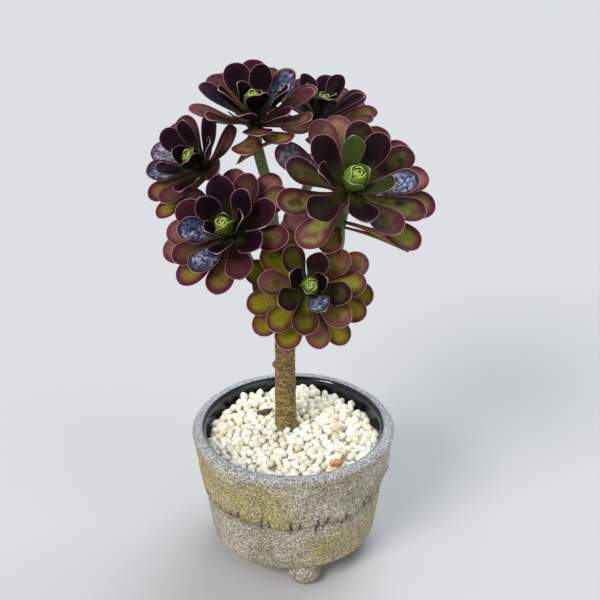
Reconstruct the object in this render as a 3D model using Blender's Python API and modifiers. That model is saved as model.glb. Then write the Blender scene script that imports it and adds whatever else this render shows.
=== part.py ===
"""Potted aeonium: a branching succulent with six leaf rosettes in a stoneware pot.

The pot stands on three feet on the plane z = 0.  Lengths are metres, +Z is up and the
front of the plant faces -Y.  Every piece hangs from one empty, which stands on the pot's
axis, so the whole plant can be centred on the origin by moving that empty.
"""
import math

import bmesh
import bpy
import numpy as np
from mathutils import Matrix, Vector

# Where the pot's axis stands, so that the object's box is centred on the origin.
POT_AXIS = (0.0043, 0.0035, 0.0)

# Pot.
RIM_RADIUS = 0.060
RIM_HEIGHT = 0.0834
LIP_THICKNESS = 0.0078
BASE_HEIGHT = 0.0112
FLOOR_THICKNESS = 0.0060
OUTER_WALL = [(0.0588, 0.0694), (0.0566, 0.0550), (0.0556, 0.0472), (0.0537, 0.0455),
              (0.0534, 0.0390), (0.0512, 0.0240), (0.0500, 0.0152), (0.0480, 0.0118)]
INNER_WALL = [(0.0390, 0.0180), (0.0435, 0.0240), (0.0485, 0.0460), (0.0520, 0.0715)]
DRAIN_RADIUS = 0.0055
POT_STEPS = 40
FOOT_COUNT = 3
FOOT_RADIUS = 0.0104
FOOT_FLAT_RADIUS = 0.0074
FOOT_CIRCLE = 0.0415
FOOT_TURN = math.radians(-80.9)
FOOT_STEPS = 16

# What fills the pot.
GAP = 0.0003
ROOT_CLEARANCE = 0.0005
MESH_DISC_RADIUS = 0.014
MESH_DISC_THICKNESS = 0.0012
SOIL_TOP = 0.0560
GRAVEL_EDGE = 0.0745
GRAVEL_MOUND = 0.0012
FILLING_CLEARANCE = 0.0009
GRAVEL_STEPS = 32

# Trunk and roots: each point is x, y, z from the pot's axis, and a radius.
TRUNK = [
    (-0.0044, 0.0130, 0.0420, 0.0040),
    (-0.0044, 0.0130, 0.0520, 0.0088),
    (-0.0044, 0.0130, 0.0640, 0.0078),
    (-0.0045, 0.0130, 0.0760, 0.0066),
    (-0.0046, 0.0122, 0.1000, 0.0062),
    (-0.0046, 0.0120, 0.1220, 0.0060),
    (-0.0042, 0.0105, 0.1420, 0.0062),
    (-0.0038, 0.0092, 0.1540, 0.0072),
    (-0.0036, 0.0086, 0.1610, 0.0076),
    (-0.0036, 0.0086, 0.1650, 0.0052),
]
ROOT_COUNT = 4
ROOT_LENGTH = 0.030
ROOT_RADIUS = 0.0021
TUBE_SIDES_RESOLUTION = 2

# Branches: points up to the foot of the rosette that each one carries.  Each starts
# inside the wood that it grows from and is cut back to leave a gap.
BRANCHES = {
    "branch_centre": [
        (-0.0036, 0.0086, 0.1600, 0.0046),
        (-0.0040, 0.0090, 0.1672, 0.0046),
        (-0.0076, 0.0115, 0.1800, 0.0040),
        (-0.0098, 0.0128, 0.1940, 0.0040),
        (-0.0108, 0.0130, 0.2040, 0.0042),
    ],
    "branch_front": [
        (-0.0032, 0.0066, 0.1590, 0.0036),
        (-0.0020, 0.0000, 0.1640, 0.0035),
        (0.0020, -0.0120, 0.1700, 0.0031),
        (0.0060, -0.0260, 0.1795, 0.0030),
    ],
    "branch_left": [
        (-0.0050, 0.0080, 0.1600, 0.0034),
        (-0.0115, 0.0050, 0.1655, 0.0034),
        (-0.0178, -0.0050, 0.1790, 0.0029),
        (-0.0236, -0.0140, 0.1950, 0.0029),
    ],
    "branch_right": [
        (-0.0020, 0.0084, 0.1600, 0.0038),
        (0.0042, 0.0070, 0.1670, 0.0038),
        (0.0150, 0.0000, 0.1820, 0.0034),
        (0.0240, -0.0080, 0.2000, 0.0034),
        (0.0250, -0.0120, 0.2130, 0.0034),
    ],
    "branch_top": [
        (-0.0108, 0.0130, 0.2030, 0.0036),
        (-0.0114, 0.0126, 0.2090, 0.0036),
        (-0.0128, 0.0112, 0.2260, 0.0030),
        (-0.0170, 0.0104, 0.2430, 0.0030),
    ],
    "branch_far_left": [
        (-0.0100, 0.0128, 0.1900, 0.0032),
        (-0.0170, 0.0110, 0.1966, 0.0032),
        (-0.0262, 0.0084, 0.2090, 0.0027),
        (-0.0350, 0.0058, 0.2220, 0.0027),
    ],
    "branch_back": [
        (-0.0096, 0.0132, 0.1940, 0.0032),
        (-0.0048, 0.0160, 0.2010, 0.0032),
        (0.0060, 0.0250, 0.2180, 0.0027),
        (0.0140, 0.0310, 0.2340, 0.0027),
    ],
}

# Rosettes.  heart is the middle of the rosette, yaw and elevation are the way it faces
# (yaw 0 is -Y, and grows towards +X), reach is its radius, turn and handed set the spiral,
# lean is how far the youngest and the oldest leaves lean out, wide is half a leaf's width
# as a share of reach, and shed lists the leaves that the plant has dropped.
ROSETTES = {
    "rosette_front": dict(branch="branch_front", heart=(0.0083, -0.0456, 0.1938),
                          yaw=8, elevation=31, reach=0.0352, turn=238, handed=1,
                          leaves=28, lean=(18, 86), wide=0.195, shed=(12, 17, 25)),
    "rosette_left": dict(branch="branch_left", heart=(-0.0318, -0.0310, 0.2188),
                         yaw=-20, elevation=42, reach=0.0380, turn=93, handed=1,
                         leaves=30, lean=(18, 86), wide=0.198, shed=(16, 20, 23, 25, 28, 29)),
    "rosette_right": dict(branch="branch_right", heart=(0.0305, -0.0250, 0.2405),
                          yaw=15, elevation=48, reach=0.0450, turn=10, handed=-1,
                          leaves=33, lean=(18, 86), wide=0.176, shed=(14, 19, 25, 27, 28, 30, 31, 32)),
    "rosette_far_left": dict(branch="branch_far_left", heart=(-0.0492, 0.0060, 0.2420),
                             yaw=-42, elevation=42, reach=0.0355, turn=58, handed=1,
                             leaves=27, lean=(16, 76), wide=0.190, shed=(15, 16, 18, 20, 21, 23, 24, 26)),
    "rosette_top": dict(branch="branch_top", heart=(-0.0198, 0.0060, 0.2697),
                        yaw=-5, elevation=70, reach=0.0375, turn=20, handed=1,
                        leaves=30, lean=(18, 72), wide=0.205, shed=(20, 22, 25, 26, 29)),
    "rosette_back": dict(branch="branch_back", heart=(0.0152, 0.0285, 0.2630),
                         yaw=35, elevation=74, reach=0.0340, turn=70, handed=-1,
                         leaves=27, lean=(14, 80), wide=0.200, shed=(7, 9, 12, 15, 17, 22)),
}
# Single older leaves lower down the branches: share along the branch, the tip's place,
# half width, and how many degrees the blade bends outwards and twists.
STEM_LEAVES = {
    "stem_leaf_right_1": dict(branch="branch_right", at=0.87, tip=(-0.0040, -0.0330, 0.2245),
                              width=0.0062, bend=14, twist=-60),
    "stem_leaf_right_2": dict(branch="branch_right", at=0.80, tip=(0.0172, -0.0450, 0.2125),
                              width=0.0064, bend=30, twist=0),
    "stem_leaf_right_3": dict(branch="branch_right", at=0.86, tip=(0.0520, -0.0330, 0.2130),
                              width=0.0052, bend=16, twist=-30),
    "stem_leaf_right_4": dict(branch="branch_right", at=0.81, tip=(0.0610, -0.0240, 0.2040),
                              width=0.0060, bend=16, twist=-30),
    "stem_leaf_top_1": dict(branch="branch_top", at=0.91, tip=(-0.0009, -0.0120, 0.2609),
                            width=0.0062, bend=20, twist=0),
    "stem_leaf_top_2": dict(branch="branch_top", at=0.85, tip=(-0.0282, -0.0060, 0.2469),
                            width=0.0036, bend=24, twist=40),
    "stem_leaf_left_1": dict(branch="branch_left", at=0.745, tip=(-0.0120, -0.0330, 0.1760),
                             width=0.0050, bend=30, twist=0),
    "stem_leaf_back_1": dict(branch="branch_back", at=0.895, tip=(0.0330, 0.0560, 0.2340),
                             width=0.0062, bend=24, twist=0),
    "stem_leaf_back_2": dict(branch="branch_back", at=0.835, tip=(-0.0040, 0.0560, 0.2260),
                             width=0.0060, bend=24, twist=0),
}
GOLDEN_ANGLE = 137.508
BUD_LEAVES = 4
LEAF_THICKNESS = 0.0014
LEAF_NECK = 0.34

# Loose things on the gravel: place from the pot's axis, size, turn in degrees, colour.
LOOSE_GRAINS = {
    "orange_grain": dict(place=(0.0248, -0.0345), size=(0.0075, 0.0050, 0.0042), turn=12,
                         colour=(0.55, 0.27, 0.12)),
    "peach_grain": dict(place=(0.0270, 0.0020), size=(0.0062, 0.0050, 0.0042), turn=40,
                        colour=(0.75, 0.52, 0.34)),
    "bark_flake": dict(place=(-0.0178, 0.0210), size=(0.0110, 0.0040, 0.0026), turn=25,
                       colour=(0.10, 0.06, 0.04)),
}

STONEWARE = (0.40, 0.37, 0.28)
PLASTIC_MESH = (0.05, 0.05, 0.05)
SOIL = (0.06, 0.04, 0.025)
PUMICE = (0.77, 0.76, 0.70)
BARK = (0.17, 0.11, 0.05)
GREEN_STEM = (0.16, 0.19, 0.06)
BURGUNDY_LEAF = (0.09, 0.03, 0.05)
OLIVE_LEAF = (0.22, 0.16, 0.05)


def clear_scene():
    for item in list(bpy.data.objects):
        bpy.data.objects.remove(item)


def new_collection(name):
    collection = bpy.data.collections.new(name)
    bpy.context.scene.collection.children.link(collection)
    return collection


def material(name, colour, roughness):
    made = bpy.data.materials.new(name)
    made.use_nodes = True
    shader = made.node_tree.nodes["Principled BSDF"]
    shader.inputs["Base Color"].default_value = (*colour, 1.0)
    shader.inputs["Roughness"].default_value = roughness
    shader.inputs["Metallic"].default_value = 0.0
    return made


def add_object(name, mesh, collection, finish=None, smooth_angle=None):
    item = bpy.data.objects.new(name, mesh)
    collection.objects.link(item)
    item.parent = stand
    if finish is not None:
        mesh.materials.clear()
        mesh.materials.append(finish)
    if smooth_angle is not None:
        mesh.shade_smooth()
        mesh.set_sharp_from_angle(angle=smooth_angle)
    return item


def make_cutter(item):
    item.hide_render = True
    item.display_type = "WIRE"
    return item


def evaluated_mesh(item):
    bpy.context.view_layer.update()
    graph = bpy.context.evaluated_depsgraph_get()
    return bpy.data.meshes.new_from_object(item.evaluated_get(graph))


def freeze(item):
    """Turn an object's modifiers or curve into a plain mesh and drop the object."""
    mesh = evaluated_mesh(item)
    bpy.data.objects.remove(item)
    return mesh


def outward(mesh):
    """Weld the caps and seams of a closed mesh and point its faces out."""
    work = bmesh.new()
    work.from_mesh(mesh)
    bmesh.ops.remove_doubles(work, verts=work.verts, dist=0.00001)
    bmesh.ops.recalc_face_normals(work, faces=work.faces)
    work.to_mesh(mesh)
    work.free()
    return mesh


def boolean(item, cutter, operation, use_self=False):
    step = item.modifiers.new(operation.lower(), "BOOLEAN")
    step.operation = operation
    step.solver = "EXACT"
    step.use_self = use_self
    step.object = cutter
    return step


def turned_mesh(name, points, steps, closed=False):
    """Turn a profile of (radius, height) points about Z with a Screw modifier."""
    count = len(points)
    edges = [(i, i + 1) for i in range(count - 1)]
    if closed:
        edges.append((count - 1, 0))
    mesh = bpy.data.meshes.new(name)
    mesh.from_pydata([(r, 0.0, z) for r, z in points], edges, [])
    item = bpy.data.objects.new(name, mesh)
    bpy.context.scene.collection.objects.link(item)
    screw = item.modifiers.new("turn", "SCREW")
    screw.steps = steps
    screw.render_steps = steps
    screw.use_merge_vertices = True
    screw.merge_threshold = 0.00001
    return outward(freeze(item))


def tube_mesh(name, points, resolution=TUBE_SIDES_RESOLUTION, extra=0.0):
    """A tube along points of (x, y, z, radius), swollen all over by an extra amount."""
    places = [Vector(point[:3]) for point in points]
    places[0] += (places[0] - places[1]).normalized() * extra
    places[-1] += (places[-1] - places[-2]).normalized() * extra
    curve = bpy.data.curves.new(name, "CURVE")
    curve.dimensions = "3D"
    curve.bevel_depth = 1.0
    curve.bevel_resolution = resolution
    curve.use_fill_caps = True
    spline = curve.splines.new("POLY")
    spline.points.add(len(points) - 1)
    for point, place, (_, _, _, radius) in zip(spline.points, places, points):
        point.co = (*place, 1.0)
        point.radius = radius + extra
    item = bpy.data.objects.new(name, curve)
    bpy.context.scene.collection.objects.link(item)
    return outward(freeze(item))


def smooth_route(points, count):
    """Read count points from a Catmull-Rom curve through the given ones."""
    knots = np.array(points, dtype=float)
    padded = np.vstack([2 * knots[0] - knots[1], knots, 2 * knots[-1] - knots[-2]])
    route = []
    for value in np.linspace(0, len(knots) - 1, count):
        i = min(int(value), len(knots) - 2)
        t = value - i
        p0, p1, p2, p3 = padded[i:i + 4]
        bend = (2 * p0 - 5 * p1 + 4 * p2 - p3) * t ** 2 + (3 * p1 - p0 - 3 * p2 + p3) * t ** 3
        route.append(tuple(0.5 * (2 * p1 + (p2 - p0) * t + bend)))
    return route


# Pot ---------------------------------------------------------------------------------

def pot_profile():
    """The wall's outline: up the inside, over the round lip, down the outside."""
    lip = LIP_THICKNESS / 2
    lip_middle = RIM_RADIUS - lip
    points = [(DRAIN_RADIUS, BASE_HEIGHT + FLOOR_THICKNESS), *INNER_WALL]
    for degrees in (180, 135, 90, 45, 0):
        angle = math.radians(degrees)
        points.append((lip_middle + lip * math.cos(angle),
                       RIM_HEIGHT - lip + lip * math.sin(angle)))
    underside = [(OUTER_WALL[-1][0] - 0.0030, BASE_HEIGHT), (DRAIN_RADIUS, BASE_HEIGHT)]
    return points + OUTER_WALL + underside


def inner_radius(height):
    """Radius of the pot's hollow at a height, less the clearance that a filling keeps."""
    radii, heights = zip(*INNER_WALL)
    return float(np.interp(height, heights, radii)) - FILLING_CLEARANCE


def foot_mesh(name, angle):
    """A squashed ball of clay with a flat worn underside."""
    top = BASE_HEIGHT + 0.0016
    middle = top * 0.5
    points = [(0.0, top)]
    for degrees in (60, 30, 5, -25):
        turn = math.radians(degrees)
        points.append((FOOT_RADIUS * math.cos(turn), middle + middle * 0.9 * math.sin(turn)))
    points += [(FOOT_FLAT_RADIUS, 0.0), (0.0, 0.0)]
    mesh = turned_mesh(name, points, FOOT_STEPS)
    centre = Vector((FOOT_CIRCLE * math.cos(angle), FOOT_CIRCLE * math.sin(angle), 0))
    mesh.transform(Matrix.Translation(centre))
    return mesh


def make_pot():
    body = turned_mesh("pot", pot_profile(), POT_STEPS, closed=True)
    pot = add_object("pot", body, parts, material("stoneware", STONEWARE, 0.45),
                     math.radians(40))
    for index in range(FOOT_COUNT):
        angle = FOOT_TURN + index * 2 * math.pi / FOOT_COUNT
        foot = add_object(f"foot_{index}", foot_mesh(f"foot_{index}", angle), cutters)
        boolean(pot, make_cutter(foot), "UNION")


def make_fillings(bed):
    """The mesh over the drain, the soil round the roots and the pumice on top."""
    floor = BASE_HEIGHT + FLOOR_THICKNESS
    disc_top = floor + GAP + MESH_DISC_THICKNESS
    disc = [(0.0, disc_top), (MESH_DISC_RADIUS, disc_top),
            (MESH_DISC_RADIUS, floor + GAP), (0.0, floor + GAP)]
    mesh = turned_mesh("drainage_mesh", disc, GRAVEL_STEPS)
    add_object("drainage_mesh", mesh, parts, material("plastic_mesh", PLASTIC_MESH, 0.5))

    soil_foot = disc_top + GAP
    soil = [(0.0, SOIL_TOP), (inner_radius(SOIL_TOP), SOIL_TOP)]
    for _, height in reversed(INNER_WALL[1:-1]):
        soil.append((inner_radius(height), height))
    soil += [(inner_radius(soil_foot), soil_foot), (0.0, soil_foot)]
    mesh = turned_mesh("potting_soil", soil, POT_STEPS)
    item = add_object("potting_soil", mesh, parts, material("soil", SOIL, 0.95))
    boolean(item, bed, "DIFFERENCE")

    rim = inner_radius(GRAVEL_EDGE)
    foot = SOIL_TOP + GAP
    middle = GRAVEL_EDGE + GRAVEL_MOUND
    gravel = [(0.0, middle), (rim * 0.4, middle), (rim * 0.8, GRAVEL_EDGE + GRAVEL_MOUND * 0.4),
              (rim, GRAVEL_EDGE), (inner_radius(foot), foot), (0.0, foot)]
    mesh = turned_mesh("gravel_top_dressing", gravel, GRAVEL_STEPS)
    item = add_object("gravel_top_dressing", mesh, parts, material("pumice", PUMICE, 0.9))
    boolean(item, bed, "DIFFERENCE")


# Loose things on the gravel --------------------------------------------------------------

def make_loose_grains():
    """Two tinted grains and a flake of bark that lie on the pale gravel."""
    for name, grain in LOOSE_GRAINS.items():
        work = bmesh.new()
        bmesh.ops.create_icosphere(work, subdivisions=1, radius=1.0)
        length, width, height = grain["size"]
        x, y = grain["place"]
        lift = GRAVEL_EDGE + GRAVEL_MOUND + GAP + height / 2
        turn = Matrix.Rotation(math.radians(grain["turn"]), 4, "Z")
        shape = Matrix.Diagonal((length / 2, width / 2, height / 2, 1.0))
        work.transform(Matrix.Translation((x, y, lift)) @ turn @ shape)
        add_object(name, mesh_from(work, name), parts,
                   material(name, grain["colour"], 0.9))


# Trunk, roots and branches -------------------------------------------------------------

def root_points(index):
    """A root that leaves the trunk's foot and curls out and down into the soil."""
    x, y, z, _ = TRUNK[1]
    angle = math.radians(35 + 360 * index / ROOT_COUNT)
    points = []
    for along in np.linspace(0, 1, 5):
        out = ROOT_LENGTH * along * (0.75 if math.sin(angle) > 0 else 1.0)
        sag = 0.016 * along ** 1.5
        radius = ROOT_RADIUS * (1 - 0.6 * along)
        swing = angle + 0.5 * along
        points.append((x + out * math.cos(swing), y + out * math.sin(swing), z - sag, radius))
    return points


def make_trunk():
    """The woody trunk and its roots, one grown piece, and the cutters for its bed."""
    route = smooth_route(TRUNK, 15)
    trunk = add_object("trunk", tube_mesh("trunk", route, 3), parts,
                       material("bark", BARK, 0.85), math.radians(50))
    bed = add_object("trunk_bed", tube_mesh("trunk_bed", route, 3, ROOT_CLEARANCE), cutters)
    for index in range(ROOT_COUNT):
        name = f"root_{index}"
        root = add_object(name, tube_mesh(name, root_points(index), 1), cutters)
        boolean(trunk, make_cutter(root), "UNION")
        channel = add_object(f"{name}_channel",
                             tube_mesh(name, root_points(index), 1, ROOT_CLEARANCE), cutters)
        boolean(bed, make_cutter(channel), "UNION")
    make_cutter(bed)
    return bed


def make_branches():
    """The branches, each cut back from the trunk and from the middle branch."""
    finish = material("green_stem", GREEN_STEM, 0.6)
    forks = {"fork_trunk": tube_mesh("fork_trunk", smooth_route(TRUNK, 15), 3, GAP),
             "fork_centre": tube_mesh("fork_centre", branch_route("branch_centre", 9), 2, GAP)}
    for fork, mesh in forks.items():
        make_cutter(add_object(fork, mesh, cutters))
    for name in BRANCHES:
        branch = add_object(name, tube_mesh(name, branch_route(name, 10)), parts, finish,
                            math.radians(50))
        boolean(branch, bpy.data.objects["fork_trunk"], "DIFFERENCE")
        if name != "branch_centre":
            boolean(branch, bpy.data.objects["fork_centre"], "DIFFERENCE")
        keep_body(branch)


# Leaves --------------------------------------------------------------------------------

def facing(yaw, elevation):
    """Right, up and forward directions of a rosette that faces the given way."""
    yaw = math.radians(yaw)
    elevation = math.radians(elevation)
    forward = Vector((math.sin(yaw) * math.cos(elevation),
                      -math.cos(yaw) * math.cos(elevation), math.sin(elevation)))
    up = (Vector((0, 0, 1)) - forward.z * forward).normalized()
    return up.cross(forward), up, forward


def stalk_length(rosette):
    return (0.00036 * rosette["leaves"] + 0.0045) * rosette["reach"] / 0.036


def branch_end(rosette, before=0.0):
    """The point where a branch meets the leafy tip that it carries, or just before it."""
    forward = facing(rosette["yaw"], rosette["elevation"])[2]
    end = Vector(rosette["heart"]) - forward * (stalk_length(rosette) + GAP + before)
    return (*end, stalk_radius(rosette, rosette["leaves"]) * 0.9)


def stalk_radius(rosette, order):
    return rosette["reach"] * 0.055 + 0.00005 * order


def open_leaf(rosette, order):
    """Place, lean, length and width of an open leaf, counted from the youngest."""
    reach = rosette["reach"]
    low, high = rosette["lean"]
    lean = low + (high - low) * (1 - math.exp(-order / 8))
    extent = reach * (0.24 + 0.83 * (1 - math.exp(-order / 10)))
    start = stalk_radius(rosette, order) - 0.0006
    length = (extent - start) / math.sin(math.radians(max(lean, 34)))
    width = reach * rosette["wide"] * (0.74 + 0.26 * min(order / 7, 1))
    return dict(start=start, height=-0.00036 * order * reach / 0.036,
                lean_foot=lean + (7 if order < 10 else 2),
                lean_tip=lean - (12 if order < 6 else 4),
                length=length, width=width, cup=0.45 - 0.25 * min(order / 14, 1), twist=0.0)


def bud_leaf(rosette, order):
    """A small leaf that still wraps the heart; order 1 is the outermost."""
    reach = rosette["reach"]
    share = 1 - order / (BUD_LEAVES + 1.5)
    return dict(start=0.02 * reach * share, height=0.03 * reach * order,
                lean_foot=66 * share + 8, lean_tip=-50 * share - 12,
                length=reach * (0.20 + 0.18 * share), width=reach * (0.085 + 0.060 * share),
                cup=0.55, twist=0.0)


def blade_width(along, widest):
    """Half width of a spoon-shaped blade as a share of its widest."""
    if along < widest:
        rise = along / widest
        return LEAF_NECK + (1 - LEAF_NECK) * (rise * rise * (3 - 2 * rise)) ** 1.5
    return math.sqrt(max(0.0, 1 - ((along - widest) / (1 - widest)) ** 2))


def loft_leaf(work, origin, axes, azimuth, leaf):
    """Add one closed blade: four-sided sections along a midrib that is an arc."""
    right, up, forward = axes
    out = right * math.cos(azimuth) + up * math.sin(azimuth)
    across = forward.cross(out)
    foot = math.radians(leaf["lean_foot"])
    turn = math.radians(leaf["lean_tip"]) - foot
    widest = 1 - 1.08 * leaf["width"] / leaf["length"]
    stations = [0.0, 0.4, widest, widest + 0.62 * (1 - widest), widest + 0.94 * (1 - widest)]
    rings = []
    for along in stations:
        lean = foot + turn * along
        side = (math.cos(foot) - math.cos(lean)) / turn
        rise = (math.sin(lean) - math.sin(foot)) / turn
        middle = (origin + out * (leaf["start"] + leaf["length"] * side)
                  + forward * (leaf["height"] + leaf["length"] * rise))
        flat = forward * math.sin(lean) - out * math.cos(lean)
        side_on = across * math.cos(leaf["twist"]) + flat * math.sin(leaf["twist"])
        normal = flat * math.cos(leaf["twist"]) - across * math.sin(leaf["twist"])
        half = leaf["width"] * blade_width(along, widest)
        thick = LEAF_THICKNESS * (0.5 if along < 0.5 * widest else 0.45)
        edge = normal * (leaf["cup"] * half)
        rings.append([work.verts.new(middle - side_on * half + edge),
                      work.verts.new(middle - normal * thick),
                      work.verts.new(middle + side_on * half + edge),
                      work.verts.new(middle + normal * thick)])
    faces = [work.faces.new(rings[0]), work.faces.new(rings[-1])]
    for low, high in zip(rings[:-1], rings[1:]):
        for i in range(4):
            j = (i + 1) % 4
            faces.append(work.faces.new((low[i], low[j], high[j], high[i])))
    bmesh.ops.recalc_face_normals(work, faces=faces)


def mesh_from(work, name):
    bmesh.ops.triangulate(work, faces=work.faces)
    mesh = bpy.data.meshes.new(name)
    work.to_mesh(mesh)
    work.free()
    return mesh


def rosette_leaves(rosette):
    """Every leaf that the rosette still has, with its azimuth: buds first."""
    orders = [-order for order in range(BUD_LEAVES, 0, -1)] + list(range(rosette["leaves"]))
    for order in orders:
        if order in rosette["shed"]:
            continue
        leaf = open_leaf(rosette, order) if order >= 0 else bud_leaf(rosette, -order)
        turn = rosette["turn"] + rosette["handed"] * GOLDEN_ANGLE * order
        yield order, leaf, math.radians(turn)


def leafy_tip(rosette):
    """The green tip of the stem that all the leaves of a rosette grow from."""
    forward = facing(rosette["yaw"], rosette["elevation"])[2]
    heart = Vector(rosette["heart"])
    points = []
    for share, radius in ((1.0, 1.0), (0.5, 0.95), (0.0, 0.85), (-0.25, 0.5)):
        place = heart - forward * (stalk_length(rosette) * share)
        order = rosette["leaves"] * max(share, 0)
        points.append((*place, stalk_radius(rosette, order) * radius))
    return points


def make_rosettes():
    finish = material("burgundy_leaf", BURGUNDY_LEAF, 0.4)
    for name, rosette in ROSETTES.items():
        axes = facing(rosette["yaw"], rosette["elevation"])
        work = bmesh.new()
        for _, leaf, azimuth in rosette_leaves(rosette):
            loft_leaf(work, Vector(rosette["heart"]), axes, azimuth, leaf)
        leaves = add_object(f"{name}_leaves", mesh_from(work, name), cutters)
        tip = add_object(name, tube_mesh(name, leafy_tip(rosette), 1), parts, finish,
                         math.radians(35))
        boolean(tip, make_cutter(leaves), "UNION", use_self=True)
        keep_body(tip)


def keep_body(item):
    """Apply an object's booleans and keep only its biggest shell, without loose offcuts."""
    mesh = evaluated_mesh(item)
    item.modifiers.clear()
    item.data = mesh
    work = bmesh.new()
    work.from_mesh(mesh)
    shells = []
    left = set(work.verts)
    while left:
        shell = set()
        edge = [left.pop()]
        while edge:
            vertex = edge.pop()
            shell.add(vertex)
            for link in vertex.link_edges:
                other = link.other_vert(vertex)
                if other in left:
                    left.discard(other)
                    edge.append(other)
        shells.append(shell)
    shells.sort(key=len)
    for shell in shells[:-1]:
        bmesh.ops.delete(work, geom=list(shell), context="VERTS")
    bmesh.ops.dissolve_limit(work, angle_limit=math.radians(0.5), verts=work.verts,
                             edges=work.edges)
    bmesh.ops.triangulate(work, faces=work.faces)
    work.to_mesh(mesh)
    work.free()


def branch_route(name, count):
    """A smooth branch whose last stretch runs straight into the tip that it carries."""
    knots = list(BRANCHES[name])
    carried = [r for r in ROSETTES.values() if r["branch"] == name]
    if not carried:
        return smooth_route(knots, count)
    knots.append(branch_end(carried[0], before=0.0030))
    return smooth_route(knots, count - 1) + [branch_end(carried[0])]


def stem_leaf(spec):
    """Origin, directions and blade of a single leaf from its branch and its tip."""
    steps = 60
    route = np.array(branch_route(spec["branch"], steps + 1))
    index = round(spec["at"] * steps)
    origin = Vector(route[index, :3])
    forward = Vector(route[min(index + 1, steps), :3] - route[index - 1, :3]).normalized()
    reach = Vector(spec["tip"]) - origin
    out = (reach - forward * reach.dot(forward)).normalized()
    up = out
    right = up.cross(forward)
    lean = math.degrees(math.atan2(reach.dot(out), reach.dot(forward)))
    stand_off = route[index, 3] + GAP + LEAF_THICKNESS / 2 * abs(math.cos(math.radians(lean)))
    length = (reach - out * stand_off).length
    blade = dict(start=stand_off, height=0.0, lean_foot=lean - spec["bend"] / 2,
                 lean_tip=lean + spec["bend"] / 2, length=length, width=spec["width"],
                 cup=0.25, twist=math.radians(spec["twist"]))
    return origin, (right, up, forward), blade


def make_stem_leaves():
    finish = material("olive_leaf", OLIVE_LEAF, 0.4)
    for name, spec in STEM_LEAVES.items():
        origin, axes, blade = stem_leaf(spec)
        work = bmesh.new()
        loft_leaf(work, origin, axes, math.radians(90), blade)
        add_object(name, mesh_from(work, name), parts, finish, math.radians(35))


clear_scene()
stand = bpy.data.objects.new("pot_axis", None)
bpy.context.scene.collection.objects.link(stand)
stand.location = POT_AXIS
parts = new_collection("potted_aeonium")
cutters = new_collection("cutters")
make_pot()
trunk_bed = make_trunk()
make_fillings(trunk_bed)
make_loose_grains()
make_branches()
make_rosettes()
make_stem_leaves()
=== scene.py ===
import itertools
import math

import bpy
import numpy as np
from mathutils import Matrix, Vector


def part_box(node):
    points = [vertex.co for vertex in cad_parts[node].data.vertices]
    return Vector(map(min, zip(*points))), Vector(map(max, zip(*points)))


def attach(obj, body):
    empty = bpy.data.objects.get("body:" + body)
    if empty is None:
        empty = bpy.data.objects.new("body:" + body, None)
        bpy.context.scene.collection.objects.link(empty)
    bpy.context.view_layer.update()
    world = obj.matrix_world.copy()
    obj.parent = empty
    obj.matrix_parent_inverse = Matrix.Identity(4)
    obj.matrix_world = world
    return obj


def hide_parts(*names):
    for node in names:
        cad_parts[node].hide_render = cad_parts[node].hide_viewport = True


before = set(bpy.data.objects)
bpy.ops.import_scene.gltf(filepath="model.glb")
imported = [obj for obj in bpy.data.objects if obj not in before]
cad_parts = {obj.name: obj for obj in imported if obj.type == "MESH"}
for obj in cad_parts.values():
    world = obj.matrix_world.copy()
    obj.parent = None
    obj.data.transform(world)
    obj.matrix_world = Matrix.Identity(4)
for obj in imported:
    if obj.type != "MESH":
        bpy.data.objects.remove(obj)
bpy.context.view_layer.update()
print("frame loaded:", len(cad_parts), "nodes")

potLow, potHigh = [np.array(corner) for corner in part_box("pot")]
potAxis = np.array([(potLow[0] + potHigh[0]) / 2, (potLow[1] + potHigh[1]) / 2, 0.0])
rimHeight = float(potHigh[2])
rimRadius = float(potHigh[0] - potLow[0]) / 2
goldenAngle = 137.508


# meshes from grids

def circle(count):
    # angles once round, evenly spaced
    return np.linspace(0, 2 * np.pi, count, endpoint=False)


def polar(radius, turn, height):
    # points from a radius, an angle and a height each
    x, y = radius * np.cos(turn), radius * np.sin(turn)
    return np.stack([x, y, height + 0 * x], axis=-1)


def indexGrid(rows, columns):
    # the number of each point on a grid, and of its neighbour round the ring
    grid = np.arange(rows * columns).reshape(rows, columns)
    return grid, np.roll(grid, -1, axis=1)


def ringFaces(rows, columns, copies):
    # quads between neighbouring rings, wrapped round, and a fan at each pole;
    # each copy holds its rings first, then its foot pole and its tip pole
    grid, beside = indexGrid(rows, columns)
    quads = np.stack([grid[:-1], beside[:-1], beside[1:], grid[1:]], axis=-1).reshape(-1, 4)
    foot = np.full(columns, rows * columns)
    fans = np.concatenate([np.stack([foot, beside[0], grid[0]], axis=-1),
                           np.stack([foot + 1, grid[-1], beside[-1]], axis=-1)])
    step = (rows * columns + 2) * np.arange(copies)[:, None, None]
    return (quads + step).reshape(-1, 4), (fans + step).reshape(-1, 3)


def outwards(points, quads, triangles):
    # the same faces, turned over if the volume that they hold comes out negative
    faces = np.concatenate([triangles, quads[:, :3], quads[:, [0, 2, 3]]])
    a, b, c = points[faces[:, 0]], points[faces[:, 1]], points[faces[:, 2]]
    if np.einsum("ij,ij->i", a, np.cross(b, c)).sum() < 0:
        return quads[:, ::-1], triangles[:, ::-1]
    return quads, triangles


def quadShape(points, quads):
    return points, *outwards(points, quads, np.zeros((0, 3), int))


def tubeShape(rings):
    # rings is copies x rows x columns x 3; the poles are the middles of the end rings
    poles = rings[:, [0, -1]].mean(axis=2)
    points = np.concatenate([rings.reshape(len(rings), -1, 3), poles], axis=1).reshape(-1, 3)
    return points, *outwards(points, *ringFaces(*rings.shape[1:3], len(rings)))


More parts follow.
